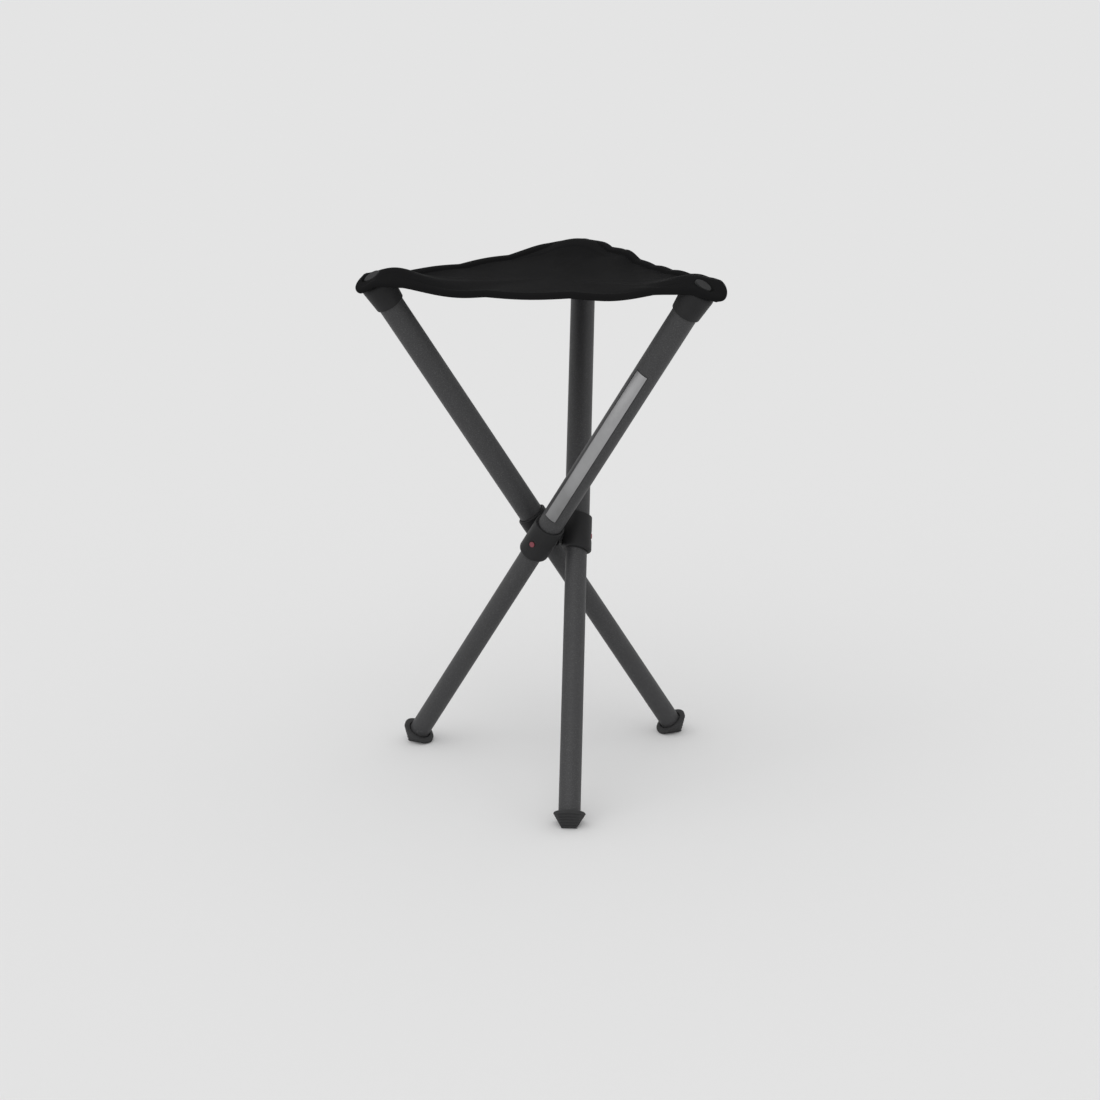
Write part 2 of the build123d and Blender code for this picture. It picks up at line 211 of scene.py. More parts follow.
class StoolStage(PropertyGroup):
    """Camera and light of the studio."""
    camera_place: FloatVectorProperty(name="Camera place", description="Camera's position",
                                      default=(0.0956, -1.8610, 0.7654),
                                      unit="LENGTH", subtype="TRANSLATION")
    camera_turn: FloatVectorProperty(name="Camera turn", description="Camera's angles",
                                     default=(radians(73.71), radians(0.03), radians(3.02)),
                                     subtype="EULER")
    lens: FloatProperty(name="Lens", description="Focal length in millimetres", default=65.9, unit="CAMERA")
    floor_size: length("Floor size", "Side of the floor", 120.0)
    world_light: share("World light", "Even light from all round", 0.79)
    sun_light: share("Sun light", "Soft light from above", 0.72)
    sun_spread: angle("Sun spread", "Softness of the light from above", 70)
    sun_tilt: FloatVectorProperty(name="Sun tilt", description="Way that the light from above comes from",
                                  default=(radians(28), radians(-18), 0.0), subtype="EULER")


Leg = namedtuple("Leg", "name outward up pivot")
Rim = namedtuple("Rim", "outer out down nose hug tip edge along height")


def find_leg(name, offset):
    """A leg's axis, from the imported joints."""
    fold = JOINTS[f"{name}_fold"]
    outward = Vector(fold["axis"]).normalized()
    up = Vector(JOINTS[f"{name}_telescope"]["axis"]).normalized()
    return Leg(name, outward, up, Vector(fold["pos_m"]) + outward * offset)


def smooth(low, high, value):
    """0 below low, 1 above high, and a smooth step between."""
    t = min(max((value - low) / (high - low), 0.0), 1.0)
    return t * t * (3 - 2 * t)


def soft_lower(a, b, width):
    """The lower of two heights, rounded where they meet."""
    t = min(max(0.5 + (b - a) / (2 * width), 0.0), 1.0)
    return b + (a - b) * t - width * t * (1 - t)


def in_plan(vector):
    """A point or a way as it looks from above."""
    return Vector((vector.x, vector.y, 0))


def link(name, mesh):
    """A new object at the origin."""
    piece = bpy.data.objects.new(name, mesh)
    bpy.context.scene.collection.objects.link(piece)
    return piece


def finish_mesh(work, name):
    """A smooth-shaded mesh from a bmesh."""
    for face in work.faces:
        face.smooth = True
    mesh = bpy.data.meshes.new(name)
    work.to_mesh(mesh)
    work.free()
    return mesh


class SeatForm:
    """Where each point of the flat cloth lies on the finished seat.

    A sector is the third of the seat round one corner. Across it, the turn goes from -1 at the middle
    of one edge, through 0 at the corner, to 1 at the middle of the next edge. Outwards, the reach goes
    from 0 in the middle of the seat to 1 at the edge, to 2 round the edge, to 3 down the hem, to 4 under
    its roll, to 5 up inside it."""
    nose_share = 0.25                   # part of a sector's turn that goes round the corner
    nose_span = radians(64)             # half of the angle that the corner turns through
    nose_fade = 0.022                   # distance along an edge over which a corner's form fades out
    hug_span = (-0.3, 0.5)              # how far a side of a nose faces outwards as it comes to hug its cap
    tip_span = (-0.2, 0.8)              # how far it faces downhill as it becomes the low tip
    dimple_span = (1.03, 1.3)           # inside and outside of a dent's slope, in rivet radii
    lift_start = 1.6                    # where the rim is lifted fully, in rivet radii
    lift_span = (0.75, 1.3)             # distance over which that lift fades out, in nose radii
    crown_round = 0.0025                # rounding where the panel meets the end of a leg
    crown_turn = 0.55                   # part of a turn in which the end of a leg shapes the panel
    ridge_spread = 0.35                 # how fast a ridge widens towards the middle
    hem_square = 3.0                    # how steeply the inside of a hem falls to its seam
    seam_width = 0.0009
    ripple_fade = 0.016                 # distance from an edge over which its ripples fade out
    ripple_ease = 0.3                   # how soon the ripples grow to full height away from the corners
    ripple_mean = 0.64                  # average of a ripple's wave, taken off so that it is about 0
    ripple_counts = (3.92, 3.85, 7.84)  # ripples along the left, front and right hems
    ripple_phases = (0.82, 0.69, 0.35)
    puckered = (0, 0, 1)                # only the right hem has a larger bump
    hem_eases = (0.5, 0.3, 0.5)         # part of each hem's length over which it comes down from a corner
    bare_lip = 0.0008                   # plain edge of the fabric where it hugs a cap
    crisp = 0.45                        # how much less the fabric is rounded there and at a nose's tip
    rim_turn = 0.4                      # how far up the end of a leg the lifted rim lies
    nose_hem_span = (1.5, 2.2)          # reach over which a nose takes on the hem's darker colour, a painted shade
    hem_span = (0.85, 1.1)              # place where a hem's painted shade ends, in hem widths
    least_loose = 1e-3                  # keeps the roll's formula from a division by 0
    least_drop = 0.0004                 # least straight height of a hem

    def __init__(self, sizes):
        self.sizes = sizes
        self.legs = [find_leg(name, sizes.leg_offset) for name in LEG_NAMES]
        self.ends = [leg.pivot + leg.up * sizes.nose_end for leg in self.legs]
        self.noses = [end - leg.outward * sizes.nose_shift - leg.up.cross(leg.outward) * sizes.nose_slip
                      for end, leg in zip(self.ends, self.legs)]
        self.corner_turns = [atan2(nose.y, nose.x) for nose in self.noses]
        self.hems = [sizes.left_hem, sizes.front_hem, sizes.right_hem]
        self.spans = [self.edge_point(edge, 0.5)[2] for edge in range(len(self.legs))]

    def nose_rim(self, number, turn):
        """The rim of the fabric over a leg's end, where the edge faces this way in plan."""
        leg = self.legs[number]
        facing = self.corner_turns[number] + turn
        normal = Vector((cos(facing), sin(facing), 0))
        radial = (normal - leg.up * normal.dot(leg.up)).normalized()
        return self.noses[number] + radial * self.sizes.nose_radius, radial

    def edge_point(self, edge, along):
        """A point of the edge between two corners, its outward way and the edge's length, in plan."""
        after = (edge + 1) % len(self.legs)
        start = self.nose_rim(edge, self.nose_span)[0]
        chord = self.nose_rim(after, -self.nose_span)[0] - start
        chord.z = 0
        out = Vector((chord.y, -chord.x, 0)).normalized()
        point = start + chord * along - out * self.sizes.edge_curve * 4 * along * (1 - along)
        heading = chord - out * self.sizes.edge_curve * 4 * (1 - 2 * along)
        return in_plan(point), Vector((heading.y, -heading.x, 0)).normalized(), chord.length

    def corner_way(self, number):
        """The way from the middle of the seat to a corner, in plan."""
        turn = self.corner_turns[number]
        return Vector((cos(turn), sin(turn), 0))

    def rim(self, number, turn):
        """The edge of the cloth at one turn of a sector."""
        leg = self.legs[number]
        edge = number if turn > 0 else (number - 1) % len(self.legs)
        if abs(turn) <= self.nose_share:
            outer, radial = self.nose_rim(number, turn / self.nose_share * self.nose_span)
            before, after = self.hems[number - 1][2], self.hems[number][0]
            height = before + (after - before) * smooth(-self.nose_share, self.nose_share, turn)
            return Rim(outer, radial, -leg.up, 1.0, *self.nose_sides(leg, radial), edge,
                       0.0 if turn > 0 else 1.0, height)
        away = 0.5 * (abs(turn) - self.nose_share) / (1 - self.nose_share)
        along = away if turn > 0 else 1 - away
        outer, out, span = self.edge_point(edge, along)
        nose = exp(-(away * span / self.nose_fade) ** 2)
        side = self.nose_rim(number, self.nose_span if turn > 0 else -self.nose_span)[1]
        down = (STRAIGHT_DOWN * (1 - nose) - leg.up * nose).normalized()
        out = out * (1 - nose) + side * nose
        out = (out - down * out.dot(down)).normalized()
        hug, tip = [nose * part for part in self.nose_sides(leg, side)]
        return Rim(outer, out, down, nose, hug, tip, edge, along, self.hem_height(edge, along))

    def nose_sides(self, leg, radial):
        """How much this side of a nose hugs its cap, and how much it is the nose's low tip."""
        downhill = leg.up.cross(leg.outward)
        hug = smooth(*self.hug_span, radial.dot(leg.outward))
        return hug, smooth(*self.tip_span, radial.dot(downhill))

    def hem_height(self, edge, along):
        """Height of a hem: a curve through its start, middle and end."""
        start, middle, end = self.hems[edge]
        ease = self.hem_eases[edge]
        level = start + (end - start) * smooth(0, 1, along)
        return level + (middle - (start + end) / 2) * smooth(0, ease, along) * smooth(0, ease, 1 - along)

    def ripple(self, edge, along):
        """A slack hem's row of soft bumps between sharp dips, about 0 on the whole."""
        sizes = self.sizes
        turn = pi * (self.ripple_counts[edge] * along + self.ripple_phases[edge])
        wave = abs(sin(turn)) - self.ripple_mean
        height = sizes.ripple[edge] * wave * smooth(0, self.ripple_ease, 4 * along * (1 - along))
        from_pucker = (along - sizes.pucker_place) * self.spans[edge]
        return height + self.puckered[edge] * sizes.pucker * exp(-(from_pucker / sizes.pucker_width) ** 2)

    def panel_height(self, number, at, reach, rim, inside):
        """Height of the stretched fabric, away from the ends of the legs."""
        sizes = self.sizes
        slack = 1 - rim.nose
        rise = sizes.hem_rise[rim.edge] * slack
        edge_height = rim.height - rise
        dip = sizes.dip_share
        climb = reach * reach / (2 * dip) if reach < dip else reach - dip / 2
        height = sizes.low_height + (edge_height - sizes.low_height) * climb / (1 - dip / 2)
        across = min(max(inside / sizes.hem_width, 0.0), 1.0)
        height += rise * sqrt(1 - across ** self.hem_square)
        height -= sizes.seam_depth * slack * exp(-((inside - sizes.hem_width) / self.seam_width) ** 2)
        height += slack * self.ripple(rim.edge, rim.along) * exp(-(inside / self.ripple_fade) ** 2)
        way = self.corner_way(number)
        from_end = at - self.noses[number]
        inwards = -from_end.dot(way)
        aside = from_end.dot(Vector((-way.y, way.x, 0)))
        height -= sizes.crease_depth[number] * self.crease(inwards, aside)
        run = exp(-((inwards - sizes.ridge_place) / sizes.ridge_length) ** 2)
        width = sizes.ridge_width[number] + self.ridge_spread * max(inwards, 0.0)
        return height + sizes.ridge[number] * run * exp(-(aside / width) ** 2)

    def crease(self, inwards, aside):
        """1 in the crease round a corner, an arc from one hem towards the next, and 0 away from it."""
        sizes = self.sizes
        bend = aside / sizes.crease_reach
        slope = 2 * bend * sizes.crease_bow / sizes.crease_reach
        from_crease = (inwards - sizes.crease_place - sizes.crease_bow * bend * bend) / hypot(1, slope)
        return exp(-(from_crease / sizes.crease_width) ** 2) * exp(-bend ** 4)

    def end_height(self, number, at):
        """Height of the fabric where it lies on the end of a leg."""
        sizes = self.sizes
        leg = self.legs[number]
        offset = self.along_end(number, at)
        inside, outside = [sizes.rivet_radius * part for part in self.dimple_span]
        pressed = 1 - smooth(inside, outside, offset.length)
        free_edge = sizes.nose_radius + sizes.nose_shift
        lifted = smooth(sizes.rivet_radius, free_edge, -offset.dot(leg.outward))
        stand = sizes.nose_lift * lifted - sizes.dimple * pressed
        return self.ends[number].z + offset.z + stand / leg.up.z

    def along_end(self, number, at):
        """The way from the middle of a leg's flat end to its point at this place in plan."""
        up = self.legs[number].up
        across = at - self.ends[number]
        return Vector((across.x, across.y, -(across.x * up.x + across.y * up.y) / up.z))

    def rim_rise(self, number, at):
        """How far the fabric stands up beyond a rivet, on the upper part of the side that hugs the cap."""
        sizes = self.sizes
        leg = self.legs[number]
        offset = self.along_end(number, at)
        way = (leg.outward - leg.up.cross(leg.outward) * self.rim_turn).normalized()
        past = smooth(sizes.rivet_radius, sizes.rivet_radius * self.lift_start, offset.dot(way))
        first, last = [sizes.nose_radius * part for part in self.lift_span]
        near = 1 - smooth(first, last, offset.length)
        return sizes.rim_lift[number] * past * near

    def edge_rounding(self, rim):
        """Rounding of the cloth where it turns down: small on a hem, large on the free side of a nose."""
        on_nose = self.sizes.nose_round * (1 - self.crisp * max(rim.hug, rim.tip))
        return self.sizes.hem_round + (on_nose - self.sizes.hem_round) * rim.nose

    def hem_share(self, reach, rim):
        """1 on the hem, 0 on the panel: where the hem's painted shade goes."""
        if reach >= 1:
            return 1 - rim.nose * (1 - smooth(*self.nose_hem_span, reach))
        start = rim.outer - rim.out * self.edge_rounding(rim)
        face = in_plan(rim.out).normalized()
        inside = start.dot(face) * (1 - reach)
        return (1 - rim.nose) * (1 - smooth(*self.hem_span, inside / self.sizes.hem_width))

    def place(self, number, turn, reach, rim):
        """A point of the seat's outer surface, and the same point on the flat cloth."""
        rounding = self.edge_rounding(rim)
        plan = in_plan(rim.outer - rim.out * rounding)
        face = in_plan(rim.out).normalized()
        inner = min(reach, 1.0)
        at = plan * inner
        height = self.panel_height(number, at, inner, rim, (plan - at).dot(face))
        if abs(turn) < self.crown_turn:
            height = soft_lower(height, self.end_height(number, at), self.crown_round)
            height += self.rim_rise(number, at)
        point = Vector((at.x, at.y, height))
        if reach <= 1:
            return point, at
        way, cut = self.turned_edge(reach, rim, rounding)
        return point + way, plan + face * cut

    def turned_edge(self, reach, rim, rounding):
        """The way from the panel's edge round, down and under the hem, and how much cloth it takes."""
        sizes = self.sizes
        turned = min(reach - 1, 1.0) * pi / 2
        way = (rim.out * sin(turned) + rim.down * (1 - cos(turned))) * rounding
        cut = rounding * turned
        loose = 1 - rim.hug
        fold = pi * max(loose, self.least_loose)
        roll = (pi * sizes.roll * loose + self.bare_lip * rim.hug) / fold
        if reach > 2:
            on_nose = (sizes.nose_depth - sizes.hem_height) * rim.nose
            tall = sizes.hem_height + on_nose - sizes.tip_trim * rim.tip
            under = sizes.roll * loose + 2 * self.bare_lip * rim.hug
            down = min(reach - 2, 1.0) * max(tall - rounding - under, self.least_drop)
            way = way + rim.down * down
            cut += down
        if reach > 3:
            turned = min(reach - 3, 1.0) * fold
            way = way + (rim.down * sin(turned) - rim.out * (1 - cos(turned))) * roll
            cut += roll * turned
        if reach > 4:
            flap = (reach - 4) * (sizes.flap * loose + self.bare_lip * rim.hug)
            way = way + (rim.down * cos(fold) - rim.out * sin(fold)) * flap
            cut += flap
        return way, cut


def reach_stations():
    """The rings of the cloth, close together towards the edge and round its turns."""
    # First reach, last reach and number of rings of each stretch
    panel = ((0, 0.5, 12), (0.5, 0.8, 60), (0.8, 0.92, 16), (0.92, 1, 26))
    edge = ((1, 2, 7), (2, 3, 3), (3, 4, 7), (4, 5, 2))
    stations = []
    for first, last, rings in panel + edge:
        stations += [first + (last - first) * ring / rings for ring in range(rings)]
    return stations + [5.0]


def new_material(name):
    """A node material, with its Principled shader."""
    material = bpy.data.materials.new(name)
    material.use_nodes = True
    shader = material.node_tree.nodes["Principled BSDF"]
    return material, material.node_tree, shader


def add_node(tree, kind, **settings):
    """A shader node with its properties or its inputs set."""
    node = tree.nodes.new(kind)
    for key, value in settings.items():
        if hasattr(node, key):
            setattr(node, key, value)
        else:
            node.inputs[key.replace("_", " ").title()].default_value = value
    return node


def grain(tree, coordinates, scale, detail=2.0, roughness=0.5):
    """Noise at one scale, in grains per metre."""
    noise = add_node(tree, "ShaderNodeTexNoise", scale=scale, detail=detail, roughness=roughness)
    tree.links.new(coordinates, noise.inputs["Vector"])
    return noise.outputs["Fac"]


def between(tree, factor, low, high, from_low=0.0, from_high=1.0):
    """A number that goes from low to high with a factor."""
    node = add_node(tree, "ShaderNodeMapRange")
    for key, value in (("From Min", from_low), ("From Max", from_high), ("To Min", low), ("To Max", high)):
        node.inputs[key].default_value = value
    tree.links.new(factor, node.inputs["Value"])
    return node.outputs["Result"]


def mixed(tree, factor, first, second):
    """A colour between two colours."""
    node = add_node(tree, "ShaderNodeMix", data_type="RGBA")
    node.inputs["A"].default_value = (*first, 1)
    node.inputs["B"].default_value = (*second, 1)
    tree.links.new(factor, node.inputs["Factor"])
    return node.outputs["Result"]


def tinted(rgb, factor):
    """A colour made lighter or darker."""
    return [min(channel * factor, 1.0) for channel in rgb]


def bump(tree, shader, height, strength):
    """Fine relief on a shader."""
    node = add_node(tree, "ShaderNodeBump", strength=strength, distance=GRAIN_DEPTH)
    tree.links.new(height, node.inputs["Height"])
    tree.links.new(node.outputs["Normal"], shader.inputs["Normal"])


def object_coordinates(tree):
    """The piece's own coordinates, in metres."""
    return add_node(tree, "ShaderNodeTexCoord").outputs["Object"]


def speckled_paint(name, base, speckle):
    """Satin paint with fine lighter grains in it."""
    material, tree, shader = new_material(name)
    where = object_coordinates(tree)
    grains = grain(tree, where, scale=1100, roughness=0.65)
    patches = grain(tree, where, scale=45, detail=3.0)
    spots = between(tree, grains, low=0.0, high=1.0, from_low=0.5, from_high=0.72)
    tint = mixed(tree, spots, base, speckle)
    tree.links.new(tint, shader.inputs["Base Color"])
    tree.links.new(between(tree, patches, low=0.42, high=0.58), shader.inputs["Roughness"])
    shader.inputs["Specular IOR Level"].default_value = 0.3
    bump(tree, shader, grains, strength=0.25)
    return material


def moulded(name, base, rough, gloss, grain_scale, relief):
    """Moulded plastic or rubber with a fine surface grain and faint wear."""
    material, tree, shader = new_material(name)
    where = object_coordinates(tree)
    fine = grain(tree, where, grain_scale)
    worn = grain(tree, where, scale=60, detail=4.0, roughness=0.6)
    wear = between(tree, worn, low=0.0, high=1.0, from_low=0.35, from_high=0.7)
    tint = mixed(tree, wear, tinted(base, 0.88), tinted(base, 1.2))
    tree.links.new(tint, shader.inputs["Base Color"])
    tree.links.new(between(tree, worn, low=rough - 0.08, high=rough + 0.1), shader.inputs["Roughness"])
    shader.inputs["Specular IOR Level"].default_value = gloss
    bump(tree, shader, fine, relief)
    return material


def plated_steel(name, base):
    """Plated steel with fine drawn lines."""
    material, tree, shader = new_material(name)
    stretch = add_node(tree, "ShaderNodeMapping")
    stretch.inputs["Scale"].default_value = (900, 900, 60)
    tree.links.new(object_coordinates(tree), stretch.inputs["Vector"])
    lines = grain(tree, stretch.outputs["Vector"], scale=1.0, detail=3.0)
    tree.links.new(mixed(tree, lines, tinted(base, 0.85), tinted(base, 1.15)), shader.inputs["Base Color"])
    tree.links.new(between(tree, lines, low=0.25, high=0.42), shader.inputs["Roughness"])
    shader.inputs["Metallic"].default_value = 1.0
    return material


def woven(name, base, hem, pitch):
    """Close-woven cloth on the piece's own flat pattern: crossing yarns, uneven dye and a hem darkened by
    painted shade.
    """
    material, tree, shader = new_material(name)
    flat = add_node(tree, "ShaderNodeUVMap", uv_map="pattern").outputs["UV"]
    yarns = []
    one_wave = pi / 10                  # length of one wave where the scale is 1
    for direction in ("X", "Y"):
        wave = add_node(tree, "ShaderNodeTexWave", wave_type="BANDS", bands_direction=direction,
                        wave_profile="SIN", scale=one_wave / pitch, distortion=0.0)
        tree.links.new(flat, wave.inputs["Vector"])
        yarns.append(wave.outputs["Fac"])
    checks = add_node(tree, "ShaderNodeTexChecker", scale=1 / pitch)
    tree.links.new(flat, checks.inputs["Vector"])
    over = add_node(tree, "ShaderNodeMix", data_type="FLOAT")
    tree.links.new(checks.outputs["Fac"], over.inputs["Factor"])
    tree.links.new(yarns[0], over.inputs["A"])
    tree.links.new(yarns[1], over.inputs["B"])
    relief = over.outputs["Result"]
    dye = grain(tree, object_coordinates(tree), scale=38, detail=4.0, roughness=0.6)
    shade = add_node(tree, "ShaderNodeMath", operation="MULTIPLY")
    tree.links.new(between(tree, relief, low=0.8, high=1.15), shade.inputs[0])
    tree.links.new(between(tree, dye, low=0.85, high=1.15), shade.inputs[1])
    # The hem share mixes in the hem's darker colour: painted shade on the turned-down faces.
    hem_shade_share = add_node(tree, "ShaderNodeAttribute", attribute_name="hem").outputs["Fac"]
    tint = add_node(tree, "ShaderNodeVectorMath", operation="SCALE")
    tree.links.new(mixed(tree, hem_shade_share, base, hem), tint.inputs[0])
    tree.links.new(shade.outputs["Value"], tint.inputs["Scale"])
    tree.links.new(tint.outputs["Vector"], shader.inputs["Base Color"])
    shader.inputs["Roughness"].default_value = 0.32
    shader.inputs["Specular IOR Level"].default_value = 0.0003
    bump(tree, shader, relief, strength=0.25)
    return material


def foil(name, base, border, border_width):
    """A bare silver foil label with a thin dark line round its edge."""
    material, tree, shader = new_material(name)
    flat = add_node(tree, "ShaderNodeUVMap", uv_map="pattern").outputs["UV"]
    split = add_node(tree, "ShaderNodeSeparateXYZ")
    tree.links.new(flat, split.inputs["Vector"])
    nearest = add_node(tree, "ShaderNodeMath", operation="MINIMUM")
    tree.links.new(split.outputs["X"], nearest.inputs[0])
    tree.links.new(split.outputs["Y"], nearest.inputs[1])
    line = add_node(tree, "ShaderNodeMath", operation="LESS_THAN")
    line.inputs[1].default_value = border_width
    tree.links.new(nearest.outputs["Value"], line.inputs[0])
    brushed = grain(tree, object_coordinates(tree), scale=160, detail=4.0, roughness=0.6)
    tint = add_node(tree, "ShaderNodeMix", data_type="RGBA")
    tint.inputs["B"].default_value = (*border, 1)
    tree.links.new(line.outputs["Value"], tint.inputs["Factor"])
    tree.links.new(mixed(tree, brushed, tinted(base, 0.88), tinted(base, 1.12)), tint.inputs["A"])
    tree.links.new(tint.outputs["Result"], shader.inputs["Base Color"])
    shader.inputs["Metallic"].default_value = 0.35
    tree.links.new(between(tree, brushed, low=0.3, high=0.45), shader.inputs["Roughness"])
    return material


def dress_part(material, name):
    """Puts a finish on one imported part."""
    node = frame["nodes"][name]
    node.data.materials.clear()
    node.data.materials.append(material)


def dress(material, *pieces):
    """Puts one finish on parts that every leg has."""
    for piece in pieces:
        for leg in LEG_NAMES:
            dress_part(material, f"{leg}_{piece}")


class STOOL_OT_tubes(Operator):
    """Paint the upper and lower tubes"""
    bl_idname = "stool.tubes"
    bl_label = "Tubes"

    def execute(self, context):
        colours = context.scene.stool_colours
        dress(speckled_paint("tube_paint", colours.tube, colours.tube_speckle), "upper_tube", "lower_tube")
        return {"FINISHED"}


class STOOL_OT_mouldings(Operator):
    """Give the sleeves, caps, bushes and hub their moulded plastic"""
    bl_idname = "stool.mouldings"
    bl_label = "Sleeves, caps and hub"

    def execute(self, context):
        plastic = moulded("moulded_plastic", context.scene.stool_colours.moulding,
                          rough=0.5, gloss=0.2, grain_scale=1800, relief=0.15)
        dress(plastic, "pivot_sleeve", "top_cap", "guide_bush")
        dress_part(plastic, "hub_core")
        return {"FINISHED"}


class FootForm:
    """A foot in its leg's own frame: out along the pivot axis, towards the stool's middle, up the leg."""
    dome_steps = 8                      # steps over the rounded top of the flange
    rib_rows = 10                       # rows of the wedge for each rib
    rib_reach = radians(62)             # how far the ribs go round to each side
    rib_fade = (1.0, 0.7)               # where the ribs end and where they are full, in reaches
    sharp_turn = radians(38)            # edges that turn more than this stay sharp

    def __init__(self, sizes, leg):
        self.sizes = sizes
        inwards = leg.up.cross(leg.outward)
        tip = leg.pivot - leg.up * (leg.pivot.z / leg.up.z)
        self.frame = Matrix((leg.outward, inwards, leg.up)).transposed().to_4x4()
        self.frame.translation = tip
        self.slope = -inwards.z / leg.up.z
        self.turned = self.turned_rows()
        self.wedge_rows = sizes.ribs * self.rib_rows

    def turned_rows(self):
        """Radius and height of the rows of the plug, the groove and the flange, from the top down."""
        sizes = self.sizes
        plug_top = sizes.tube_end + sizes.plug_length
        groove_floor = sizes.flange_top - sizes.groove_depth
        lip = sizes.tube_radius + sizes.groove_width
        rows = [(0.0, plug_top), (sizes.plug_radius, plug_top), (sizes.plug_radius, sizes.tube_end),
                (sizes.tube_radius, sizes.tube_end), (sizes.tube_radius, groove_floor), (lip, groove_floor)]
        for step in range(self.dome_steps + 1):
            turn = pi / 2 * step / self.dome_steps
            rows.append((lip + (sizes.half_length - lip) * sin(turn),
                         sizes.rim + (sizes.flange_top - sizes.rim) * cos(turn)))
        return rows

    def place(self, row, turn):
        """A point of the foot, a number of rows from the middle of the plug's top."""
        sizes = self.sizes
        if row < len(self.turned):
            radius, height = self.turned[row]
            lip = sizes.tube_radius + sizes.groove_width
            outside = max(radius - lip, 0.0) / (sizes.half_length - lip)
            flat = 1 + (sizes.half_width / sizes.half_length - 1) * outside
            return self.frame @ Vector((radius * flat * cos(turn), radius * sin(turn), height))
        return self.frame @ self.wedge((row - len(self.turned)) / (self.wedge_rows - 1), turn)

    def wedge(self, down, turn):
        """A point of the wedge between the flange and the straight outer edge of the sole."""
        sizes = self.sizes
        across = sizes.half_width * cos(turn)
        low = sizes.half_length * self.slope
        ring = sizes.rim + (low - sizes.rim) * max(sin(turn), 0.0) ** 2
        start = Vector((across, sizes.half_length * sin(turn), ring))
        held = min(max(across, -sizes.tip_half_width), sizes.tip_half_width)
        end = Vector((held, -sizes.tip_out, -sizes.tip_out * self.slope))
        face = Vector((0, end.z - sizes.rim, end.y - sizes.half_length)).normalized()
        away = abs(turn + pi / 2) / self.rib_reach
        rib = (0.5 - 0.5 * cos(2 * pi * sizes.ribs * down)) * smooth(*self.rib_fade, away)
        return start.lerp(end, down) + face * sizes.rib_height * rib

    def mesh(self, name):
        """The whole foot, spun flat and then laid on its form."""
        work = bmesh.new()
        count = len(self.turned) + self.wedge_rows
        line = [work.verts.new((row, 0, 0)) for row in range(count)]
        edges = [work.edges.new(pair) for pair in zip(line, line[1:])]
        bmesh.ops.spin(work, geom=line + edges, cent=(0, 0, 0), axis=(0, 0, 1), angle=2 * pi,
                       steps=self.sizes.steps, use_merge=True, use_duplicate=False)
        for vert in work.verts:
            row = round(hypot(vert.co.x, vert.co.y))
            vert.co = self.place(row, atan2(vert.co.y, vert.co.x))
        bmesh.ops.remove_doubles(work, verts=work.verts, dist=SAME_POINT)
        bmesh.ops.dissolve_degenerate(work, edges=work.edges, dist=SAME_POINT)
        bmesh.ops.recalc_face_normals(work, faces=work.faces)
        for edge in work.edges:
            edge.smooth = edge.calc_face_angle(0.0) < self.sharp_turn
        return finish_mesh(work, name)


class STOOL_OT_feet(Operator):
    """Make the rubber feet"""
    bl_idname = "stool.feet"
    bl_label = "Feet"

    def execute(self, context):
        rubber = moulded("foot_rubber", context.scene.stool_colours.foot,
                         rough=0.75, gloss=0.3, grain_scale=1200, relief=0.3)
        for leg in LEG_NAMES:
            axis = find_leg(leg, context.scene.stool_seat.leg_offset)
            form = FootForm(context.scene.stool_foot, axis)
            name = f"{leg}_rubber_foot"
            piece = link(name, form.mesh(name))
            piece.data.materials.append(rubber)
            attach(piece, f"{leg}_lower_leg")
            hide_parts(f"{leg}_foot")
        return {"FINISHED"}


class STOOL_OT_fasteners(Operator):
    """Finish the rivets, buttons, screws and springs"""
    bl_idname = "stool.fasteners"
    bl_label = "Rivets, buttons, screws and springs"

    def execute(self, context):
        colours = context.scene.stool_colours
        rivet = moulded("rivet_grey", colours.rivet, rough=0.5, gloss=0.1, grain_scale=1500, relief=0.15)
        button = moulded("button_red", colours.button, rough=0.38, gloss=0.5, grain_scale=1500, relief=0.08)
        dress(rivet, "corner_rivet")
        dress(button, "lock_button")
        dress(plated_steel("plated_steel", colours.steel), "pivot_screw", "snap_spring")
        return {"FINISHED"}


